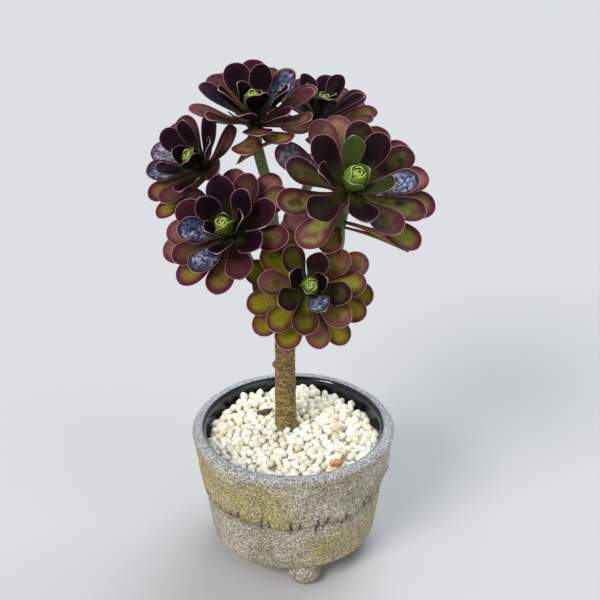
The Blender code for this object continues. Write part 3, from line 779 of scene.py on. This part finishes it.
def makeStemLeaf(name, facts, seed):
    # a blade from its branch to its tip, with the shape of a rosette's oldest leaves
    branch, share, tip, width, bend, twist = facts
    draw = np.random.default_rng(seed)
    route = branchRoute(branch, 60)
    middle = round(share * 59)
    foot, ahead = route[middle, :3], route[min(middle + 1, 59), :3] - route[middle - 1, :3]
    forward = ahead / np.linalg.norm(ahead)
    reach = np.array(tip) - foot
    out = reach - forward * (reach @ forward)
    out /= np.linalg.norm(out)
    lean = math.degrees(math.atan2(reach @ out, reach @ forward))
    axes = (out, np.cross(forward, out), forward)
    leaf = dict(azimuth=0.0, foot=lean - bend / 2, tip=lean + bend / 2, start=0.002,
                height=0.0, length=np.linalg.norm(reach) - 0.0015, width=width, cup=0.25, age=1.0,
                tone=draw.uniform(0, 1), twist=twist, ruffle=0.3, bloom=0.0)
    rings, values = leafSurfaces(potAxis + foot, axes, {k: [v] for k, v in leaf.items()})
    piece = putTubes("stemLeaf_" + name, rings, values, oldLeaf)
    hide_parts("stem_leaf_" + name)


makeStems()
for index, (leafName, leafFacts) in enumerate(stemLeaves.items()):
    makeStemLeaf(leafName, leafFacts, 31 + index)
print("trunk, branches and single leaves made")


# pot

pot = dict(
    lipThickness=0.0078,
    baseHeight=0.0112,
    outerWall=[(0.0590, 0.0760), (0.0583, 0.0694), (0.0570, 0.0620), (0.0566, 0.0550),
               (0.0561, 0.0490), (0.0555, 0.0468), (0.0541, 0.0458), (0.0536, 0.0440),
               (0.0534, 0.0390), (0.0524, 0.0310), (0.0512, 0.0240), (0.0501, 0.0152),
               (0.0491, 0.0126), (0.0474, 0.0114), (0.0440, 0.0112)],
    innerWall=[(0.0390, 0.0180), (0.0435, 0.0240), (0.0485, 0.0460), (0.0520, 0.0715)],
    drainRadius=0.0055,
    floorThickness=0.0060,
    rows=190,
    columns=500,
    crowding=0.38,       # how much closer the columns stand in front than behind
    creaseHeight=0.0462,
    cracks=[(-62, 5), (-40, 5), (-34, 7), (-19, 8), (-14, 5), (-1, 8), (4, 5), (15, 9),
            (20, 6), (33, 8), (47, 8), (52, 5)],    # degrees right of the front, length in mm
    crackDepth=0.0009,
    lumps=[(0.0016, 88, 16, 0.0560, 0.0050), (0.0018, 84, 5, 0.0475, 0.0032),
           (0.0007, -88, 22, 0.0560, 0.0060)],  # fold, knob and swell: how far out, degrees
                                                # right and spread, height and spread
    feet=[-80.9, 39.1, 159.1],
    footCircle=0.0415,
    footRadius=0.0104,
)


def wave(value, *parts):
    # a sum of sines: amount, frequency and start of each
    return sum(amount * np.sin(value * frequency + start) for amount, frequency, start in parts)


def potProfile():
    # up the inside, over the round lip and down the outside, then back under the floor
    lip = pot["lipThickness"] / 2
    middle = rimRadius - lip
    floor = pot["baseHeight"] + pot["floorThickness"]
    knots = [(pot["drainRadius"], floor), (0.020, floor), *pot["innerWall"]]
    for degrees in (180, 150, 120, 90, 60, 30, 0):
        angle = math.radians(degrees)
        knots.append((middle + lip * math.cos(angle), rimHeight - lip + lip * math.sin(angle)))
    knots += pot["outerWall"]
    knots += [(0.020, pot["baseHeight"]), (pot["drainRadius"], pot["baseHeight"])]
    fine = curveThrough(knots, 4000)
    step = np.linalg.norm(np.diff(fine, axis=0), axis=1)
    hidden = (fine[1:, 1] < 0.0195) & (fine[1:, 0] < 0.046)
    inside = (np.arange(len(step)) < 1400) & (fine[1:, 1] < 0.070)
    weight = step * np.where(hidden, 0.12, np.where(inside, 0.3, 1.0))
    weight = weight * (1 + 1.6 * bump(fine[1:, 1] - pot["creaseHeight"], 0.007) * ~inside)
    run = np.concatenate([[0], np.cumsum(weight)])
    places = np.linspace(0, run[-1], pot["rows"])
    return np.stack([np.interp(places, run, fine[:, 0]), np.interp(places, run, fine[:, 1])], 1)


def shapePot(radius, height, turn):
    # the thrown wall wanders a little; the crease climbs on the right, where a fold of
    # clay hangs over a small knob, and short cracks cross it in front
    outside = 1 / (1 + np.exp(-(radius - (0.0435 + 0.165 * (height - 0.018))) / 0.0006))
    outside = np.where(height < 0.0125, 1.0, outside)
    right = np.degrees(turn) + 90
    right = (right + 180) % 360 - 180
    climb = 0.0075 * bump(right - 92, 34) + 0.0030 * bump(right + 95, 35)
    jag = wave(turn, (0.00055, 9, 1), (0.00040, 17, 2), (0.00030, 31, 0.5), (0.00022, 53, 4))
    near = bump(height - pot["creaseHeight"], 0.013)
    wide = wave(turn, (0.00030, 2, 1.0), (0.00025, 3, 2.6), (0.00012, 5, 0.4))
    slabs = wave(turn, (0.00028, 7, 0.3), (0.00022, 12, 1.9)) * bump(height - 0.052, 0.010)
    rings = 0.00010 * np.sin(height * 1500 + 2 * np.sin(turn))
    lumps = [size * bump(right - place, spread) * bump(height - level, rise)
             for size, place, spread, level, rise in pot["lumps"]]
    cracks = 0 * (radius + turn)
    crease = pot["creaseHeight"] + climb + jag
    for place, length in pot["cracks"]:
        slant = 120 + 160 * math.sin(place * 2.3)
        sway = place + 0.40 * np.sin((height - 0.046) * 1700 + place) + (height - 0.046) * slant
        along = bump(height - crease - 0.0006, length / 1500)
        cracks = np.maximum(cracks, np.minimum(1.8 * bump(right - sway, 0.52) * along, 1))
    radius = radius + outside * (sum(lumps, wide + slabs + rings) - pot["crackDepth"] * cracks)
    height = height + outside * near * (climb + jag)
    values = dict(inner=1 - outside, crack=cracks * outside,
                  fromCrease=np.clip((height - crease) / 0.02, -1, 1),
                  side=np.sin(np.radians(right)) + 0 * height, knob=bump(right - 84, 7)
                  * bump(height - 0.0480, 0.0045) * outside, level=height / rimHeight)
    return radius, height, values


def footRings(angle):
    # a squashed ball of clay worn flat underneath
    rows, columns = 22, 40
    turn = circle(columns)[None, :]
    rise = np.linspace(-1, 1, rows)[:, None]
    top = pot["baseHeight"] + 0.0016
    spread = np.sqrt(np.clip(1 - (0.86 * rise) ** 2, 0, 1)) ** 0.9
    lumps = 1 + 0.035 * np.sin(3 * turn + angle) + 0.03 * np.sin(5 * turn + 2 * rise)
    radius = pot["footRadius"] * spread * lumps
    height = np.maximum(top * (0.5 + 0.5 * rise), 0)
    middle = pot["footCircle"] * np.array([math.cos(angle), math.sin(angle), 0.0])
    return polar(radius, turn, height) + middle


def makePot():
    profile = potProfile()
    rows, columns = len(profile), pot["columns"]
    turn = circle(columns)[None, :]
    turn = turn - pot["crowding"] * np.cos(turn)
    radius, height, values = shapePot(profile[:, :1], profile[:, 1:] + 0 * turn, turn)
    body = polar(radius, turn, height)
    grid, beside = indexGrid(rows, columns)
    quads = np.stack([grid, np.roll(grid, -1, axis=0), np.roll(beside, -1, axis=0), beside],
                     axis=-1).reshape(-1, 4)
    feet = tubeShape(np.stack([footRings(math.radians(degrees)) for degrees in pot["feet"]]))
    count, more = rows * columns, len(feet[0])
    full = {key: np.concatenate([np.broadcast_to(grid, height.shape).ravel(), np.zeros(more)])
            for key, grid in values.items()}
    full["foot"] = np.concatenate([np.zeros(count), np.ones(more)])
    full["fromCrease"][count:] = -1
    piece = putMesh("stonewarePot", joined(quadShape(body.reshape(-1, 3), quads), feet), full,
                    potMaterial())
    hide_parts("pot")


potLook = dict(
    clouds=(45.0, 0.38, 0.64), blotch=(120.0, 0.36, 0.66),
    fine=(950.0, 0.49, 0.57), pale=(760.0, 0.54, 0.62), dots=(720.0, 0.45, 0.55),
    clayDark=(0.36, 0.31, 0.20), clayLight=(0.51, 0.465, 0.365),
    # the third colour on the next line is a painted shadow under the crease's overhang
    ochre=(0.43, 0.335, 0.090), seam=(0.23, 0.135, 0.032), groove=(0.06, 0.045, 0.025),
    stain=(0.10, 0.09, 0.07), lip=(0.38, 0.41, 0.44), knob=(0.20, 0.23, 0.27),
    foot=(0.30, 0.25, 0.21), paleFleck=(0.78, 0.75, 0.66), darkFleck=(0.085, 0.072, 0.045),
    dot=(0.030, 0.026, 0.020), crack=(0.008, 0.007, 0.006),
    glazeDark=(0.003, 0.004, 0.006), glazeLight=(0.012, 0.018, 0.027),
    clayRoughness=0.62, lipRoughness=0.45,
    glazeSmoother=-0.40,        # added to the roughness under the glaze
    relief=0.00022,             # metres
)


def potMaterial():
    # grey stoneware full of dark specks, ochre in patches, brown along the crease on the
    # right, a painted shadow under the fold of the crease, a cooler lip, and a glossy dark
    # glaze inside
    look = potLook
    made, tree, place = newMaterial("stoneware")
    inner, crack, foot, crease, side, level, knob = attributes(
        tree, "inner", "crack", "foot", "fromCrease", "side", "level", "knob")
    clouds, blotch, fine, pale = (mottle(tree, place, look[key])
                                  for key in ("clouds", "blotch", "fine", "pale"))
    dots = speckle(tree, place, look["dots"])
    above = between(tree, crease, -0.02, 0.05)
    upperLeft = times(tree, above, between(tree, side, 0.20, -0.35),
                      between(tree, level, 0.95, 0.84))
    lowerRight = times(tree, inverse(tree, above), between(tree, side, -0.06, 0.31),
                       between(tree, level, 0.56, 0.36), 0.8)
    eitherSide = mathNode(tree, "MAXIMUM", between(tree, side, 0.16, 0.37),
                          between(tree, side, -0.31, -0.54))
    lip = times(tree, between(tree, level, 0.968, 0.988), inverse(tree, foot))
    glaze = between(tree, inner, 0.35, 0.7)
    glazeShade = blend(tree, blotch, look["glazeDark"], look["glazeLight"])
    body = coats(
        tree, blend(tree, clouds, look["clayDark"], look["clayLight"]), look,
        ("ochre", mathNode(tree, "MAXIMUM", upperLeft, lowerRight),
         between(tree, blotch, 0.0, 0.8, 0.55, 1.0)),
        ("seam", between(tree, crease, 0.30, 0.05), between(tree, crease, -0.06, 0.03),
         eitherSide, 0.85),
        # painted shadow: a dark band just under the overhang of the crease
        ("groove", between(tree, crease, -0.10, -0.02), between(tree, crease, 0.05, -0.01), 0.6),
        ("stain", between(tree, crease, -0.42, -0.05), between(tree, crease, 0.12, -0.03), 0.55,
         blotch),
        ("lip", lip, 0.9), ("knob", knob), ("foot", foot, 0.7),
        ("paleFleck", pale, 0.45), ("darkFleck", fine, 0.70),
        ("dot", dots, 0.85), ("crack", crack), (glazeShade, glaze))
    rough = mathNode(tree, "ADD", times(tree, glaze, look["glazeSmoother"]),
                     between(tree, lip, 0.0, 1.0, look["clayRoughness"], look["lipRoughness"]))
    pits = inverse(tree, mathNode(tree, "MAXIMUM", fine, dots))
    height = times(tree, pits, inverse(tree, glaze))
    return finished(made, body, rough, height, look["relief"])


makePot()
print("pot made")


# gravel and what lies on it

gravel = dict(
    spacing=0.0050,
    grainRadius=(0.0024, 0.0034),
    edge=0.0745,                # height where the gravel meets the wall in front
    wallRadius=0.0522,
    layers=2,
    bed=[(0.2, 0.0570), (0.93, 0.0570), (1.0, 0.0704), (0.8, 0.0714), (0.2, 0.0714)],
    seed=7,
    hills=[(0.0042, 0.012, 0.016, 0.050, 0.016),    # height, place and spread to the right,
           (0.0028, -0.026, 0.020, 0.040, 0.018)],  # place and spread to the back
    tones=[(0.0, (0.74, 0.69, 0.53)), (0.3, (0.84, 0.81, 0.68)), (0.75, (0.89, 0.88, 0.80)),
           (0.94, (0.86, 0.79, 0.60)), (1.0, (0.80, 0.64, 0.44))],
    pores=(900.0, 0.56, 0.68),
    poreShade=(0.40, 0.36, 0.28), poreAmount=0.30,
    # the next colour darkens the bed: painted shade in the gaps between the grains
    bedShade=(0.26, 0.235, 0.18),
)


def gravelHeight(x, y):
    # a low slope that climbs towards the back, with two soft hills there
    return (gravel["edge"] - 0.0012 + 0.0016 * np.clip(y / 0.05 + 0.4, 0, 1.4)
            + sum(high * bump(x - right, wide) * bump(y - back, deep)
                  for high, right, wide, back, deep in gravel["hills"])
            + 0.0008 * np.sin(x * 170 + 1) * np.sin(y * 150 + 2))


def blockGrid():
    # a cube with each side cut in four
    faces, found = [], {}
    for axis, sign, i, j in itertools.product(range(3), (-1, 1), range(2), range(2)):
        corners = []
        for u, v in ((i, j), (i + 1, j), (i + 1, j + 1), (i, j + 1)):
            place = [0.0, 0.0, 0.0]
            place[axis] = sign
            place[(axis + 1) % 3] = u - 1
            place[(axis + 2) % 3] = v - 1
            corners.append(found.setdefault(tuple(place), len(found)))
        faces.append(corners if sign > 0 else corners[::-1])
    return np.array(list(found), dtype=float), np.array(faces)


def randomTurns(draw, count):
    # random rotations from unit quaternions
    q = draw.normal(size=(count, 4))
    w, x, y, z = (q / np.linalg.norm(q, axis=1)[:, None]).T
    return np.stack([
        np.stack([1 - 2 * (y * y + z * z), 2 * (x * y - z * w), 2 * (x * z + y * w)], -1),
        np.stack([2 * (x * y + z * w), 1 - 2 * (x * x + z * z), 2 * (y * z - x * w)], -1),
        np.stack([2 * (x * z - y * w), 2 * (y * z + x * w), 1 - 2 * (x * x + y * y)], -1)], 1)


def grainPoints(draw, centres, sizes):
    # knobbly stones: the block grid between a cube and a ball, with dented corners
    grid, faces = blockGrid()
    ball = grid / np.linalg.norm(grid, axis=1)[:, None]
    count = len(centres)
    square = draw.uniform(0.15, 0.60, (count, 1, 1))
    shape = ball[None] * (1 - square) + grid[None] * square * 0.75
    shape = shape * draw.uniform(0.80, 1.10, (count, len(grid), 1))
    shape = shape * draw.uniform(0.78, 1.15, (count, 1, 3))
    turned = np.einsum("nij,nkj->nki", randomTurns(draw, count), shape)
    points = turned * sizes[:, None, None] + centres[:, None]
    step = np.arange(count)[:, None, None] * len(grid)
    return points.reshape(-1, 3), (faces[None] + step).reshape(-1, 4), len(grid)


def makeGravel():
    draw = np.random.default_rng(gravel["seed"])
    space = gravel["spacing"]
    wall = gravel["wallRadius"]
    reach = int(wall / space) + 2
    column, row = np.meshgrid(np.arange(-reach, reach + 1), np.arange(-reach, reach + 1))
    places = []
    for layer in range(gravel["layers"]):
        x = (column + 0.5 * (row % 2) + 0.35 * layer) * space
        y = (row * 0.866 + 0.5 * layer) * space
        spot = np.stack([x.ravel(), y.ravel()], 1)
        spot += draw.uniform(-0.33, 0.33, spot.shape) * space
        lift = draw.uniform(-0.0010, 0.0008, len(spot)) - layer * 0.0026
        places.append(np.column_stack([spot, gravelHeight(spot[:, 0], spot[:, 1]) + lift]))
    centres = np.concatenate(places)
    sizes = draw.uniform(*gravel["grainRadius"], len(centres))
    centres[:, 2] -= sizes * 0.6
    inside = np.hypot(centres[:, 0], centres[:, 1]) < wall - 0.75 * sizes
    stem = np.array(trunk["points"][2][:2])
    clear = np.hypot(*(centres[:, :2] - stem).T) > trunk["points"][2][3] + 0.1 * sizes
    centres, sizes = centres[inside & clear], sizes[inside & clear]
    points, quads, each = grainPoints(draw, centres, sizes)
    tone = np.repeat(draw.uniform(0, 1, len(centres)), each)
    bed = tubeShape(bedRings()[None])
    # the bed is marked so that it takes the painted shade
    values = dict(tone=np.concatenate([tone, np.full(len(bed[0]), -1.0)]))
    piece = putMesh("pumiceGravel", joined(quadShape(points, quads), bed), values,
                    gravelMaterial())
    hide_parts("gravel_top_dressing")
    return len(centres)


def bedRings():
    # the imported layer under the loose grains, a plain low drum
    share, height = np.array(gravel["bed"]).T[..., None]
    return polar(share * (gravel["wallRadius"] - 0.0035), circle(96), height)


def gravelMaterial():
    # chalky pale stone, creamier or greyer from grain to grain, with small pores, and
    # the bed under the grains darkened as painted shade in the gaps between them
    made, tree, place = newMaterial("pumice")
    tone, = attributes(tree, "tone")
    pores = mottle(tree, place, gravel["pores"])
    body = coats(tree, ramp(tree, tone, gravel["tones"]), gravel,
                 ("poreShade", pores, gravel["poreAmount"]),
                 # painted shade: the bed darkens where it shows between the grains
                 ("bedShade", between(tree, tone, 0.0, -0.5)))
    return finished(made, body, 0.9, inverse(tree, pores), 0.00025)


looseThings = {
    # place from the pot's axis, half sizes, turn in degrees, colours
    "orange_grain": dict(place=(0.0248, -0.0345), size=(0.0038, 0.0026, 0.0021), turn=12,
                         slot="orange_stone", low=(0.50, 0.19, 0.06), high=(0.72, 0.42, 0.22)),
    "peach_grain": dict(place=(0.0270, 0.0020), size=(0.0031, 0.0026, 0.0021), turn=40,
                        slot="peach_stone", low=(0.72, 0.50, 0.32), high=(0.82, 0.66, 0.48)),
    "bark_flake": dict(place=(-0.0178, 0.0210), size=(0.0054, 0.0019, 0.0012), turn=25,
                       slot="bark_litter", low=(0.030, 0.018, 0.012), high=(0.16, 0.10, 0.05)),
}


def spotted(name, low, high, pattern, roughness, relief):
    # cloudy spots between a low and a high colour
    made, tree, place = newMaterial(name)
    spots = mottle(tree, place, pattern)
    return finished(made, blend(tree, spots, low, high), roughness, spots, relief)


def makeLooseThings():
    for index, (name, thing) in enumerate(looseThings.items()):
        draw = np.random.default_rng(70 + index)
        rows, columns = 18, 28
        rise = np.linspace(-1, 1, rows)[:, None]
        turn = circle(columns)[None, :]
        spread = np.sqrt(np.clip(1 - (0.94 * rise) ** 2, 0, 1))
        dents = 1 + sum(0.07 * np.sin(k * turn + draw.uniform(0, 6) + 2 * rise)
                        for k in (2, 3, 5))
        flat = polar(spread * dents, turn, rise + 0.10 * np.sin(3 * turn + 1) * spread)
        sized = flat * np.array(thing["size"])
        angle = math.radians(thing["turn"])
        x, y = thing["place"]
        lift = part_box(name)[0][2] + thing["size"][2] - 0.0004
        rings = np.stack([x + sized[..., 0] * math.cos(angle) - sized[..., 1] * math.sin(angle),
                          y + sized[..., 0] * math.sin(angle) + sized[..., 1] * math.cos(angle),
                          lift + sized[..., 2]], axis=-1)
        made = spotted(name.replace("_", " "), thing["low"], thing["high"],
                       (700.0, 0.40, 0.62), 0.8, 0.0003)
        piece = putTubes("loose_" + name, (rings + potAxis)[None], {}, made)
        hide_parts(name)


def dressKeptNodes():
    # the mesh over the drain and the soil keep their shapes under better materials
    for name, low, high, scale in (
            ("drainage_mesh", (0.012, 0.012, 0.012), (0.05, 0.05, 0.05), 900.0),
            ("potting_soil", (0.018, 0.011, 0.007), (0.11, 0.07, 0.04), 350.0)):
        made = spotted("dressed " + name.replace("_", " "), low, high,
                       (scale, 0.40, 0.64), 0.9, 0.0004)
        kept = bpy.data.objects[name]
        for slot in kept.material_slots:
            slot.material = made


grainCount = makeGravel()
makeLooseThings()
dressKeptNodes()
print("gravel made:", grainCount, "grains")


# floor, light and camera

stage = dict(
    floorSize=12.0,
    floorColour=(0.475, 0.474, 0.470),
    worldColour=(0.78, 0.84, 0.92),
    worldStrength=0.56,
    cameraBack=0.5061,          # from the pot's axis
    cameraAbove=0.3294,         # above the rim
    cameraAside=0.0042,
    cameraPitch=26.15,          # degrees below level
    lens=60.0,
    lights=[("key", (-0.7, -0.8, 0.9), 26, 2.4, (1.0, 0.97, 0.93)),  # direction, spread,
            ("sky", (0.3, 0.5, 1.0), 42, 2.1, (0.86, 0.93, 1.0)),    # power and colour
            ("fill", (0.9, -0.7, 0.3), 37, 0.6, (1.0, 0.98, 0.95))],
)


def makeFloor():
    made = newMaterial("pale floor")[0]
    inputs = made.node_tree.nodes["Principled BSDF"].inputs
    inputs["Base Color"].default_value = colour(stage["floorColour"])
    inputs["Roughness"].default_value = 0.8
    size = stage["floorSize"] / 2
    mesh = bpy.data.meshes.new("floor")
    mesh.from_pydata([(-size, -size, 0), (size, -size, 0), (size, size, 0), (-size, size, 0)],
                     [], [(0, 1, 2, 3)])
    mesh.materials.append(made)
    floor = addObject("floor", mesh)


def addLight(name, direction, spread, power, shade):
    # a far soft light that comes from the given direction, spread in degrees
    lamp = bpy.data.lights.new(name, "SUN")
    lamp.angle = math.radians(spread)
    lamp.energy = power
    lamp.color = shade
    turn = Vector(direction).to_track_quat("Z", "Y").to_euler()
    addObject(name, lamp).rotation_euler = turn


def makeStage():
    makeFloor()
    for light in stage["lights"]:
        addLight(*light)
    world = bpy.data.worlds.new("pale room")
    world.use_nodes = True
    back = world.node_tree.nodes["Background"]
    back.inputs["Color"].default_value = colour(stage["worldColour"])
    back.inputs["Strength"].default_value = stage["worldStrength"]
    bpy.context.scene.world = world
    lens = bpy.data.cameras.new("camera")
    lens.lens = stage["lens"]
    lens.sensor_width = 36.0
    lens.clip_start = 0.01
    camera = addObject("camera", lens)
    camera.location = (potAxis[0] + stage["cameraAside"], potAxis[1] - stage["cameraBack"],
                       rimHeight + stage["cameraAbove"])
    camera.rotation_euler = (math.radians(90 - stage["cameraPitch"]), 0, 0)
    bpy.context.scene.camera = camera
    bpy.context.scene.view_settings.view_transform = "Standard"


makeStage()
print("stage made")
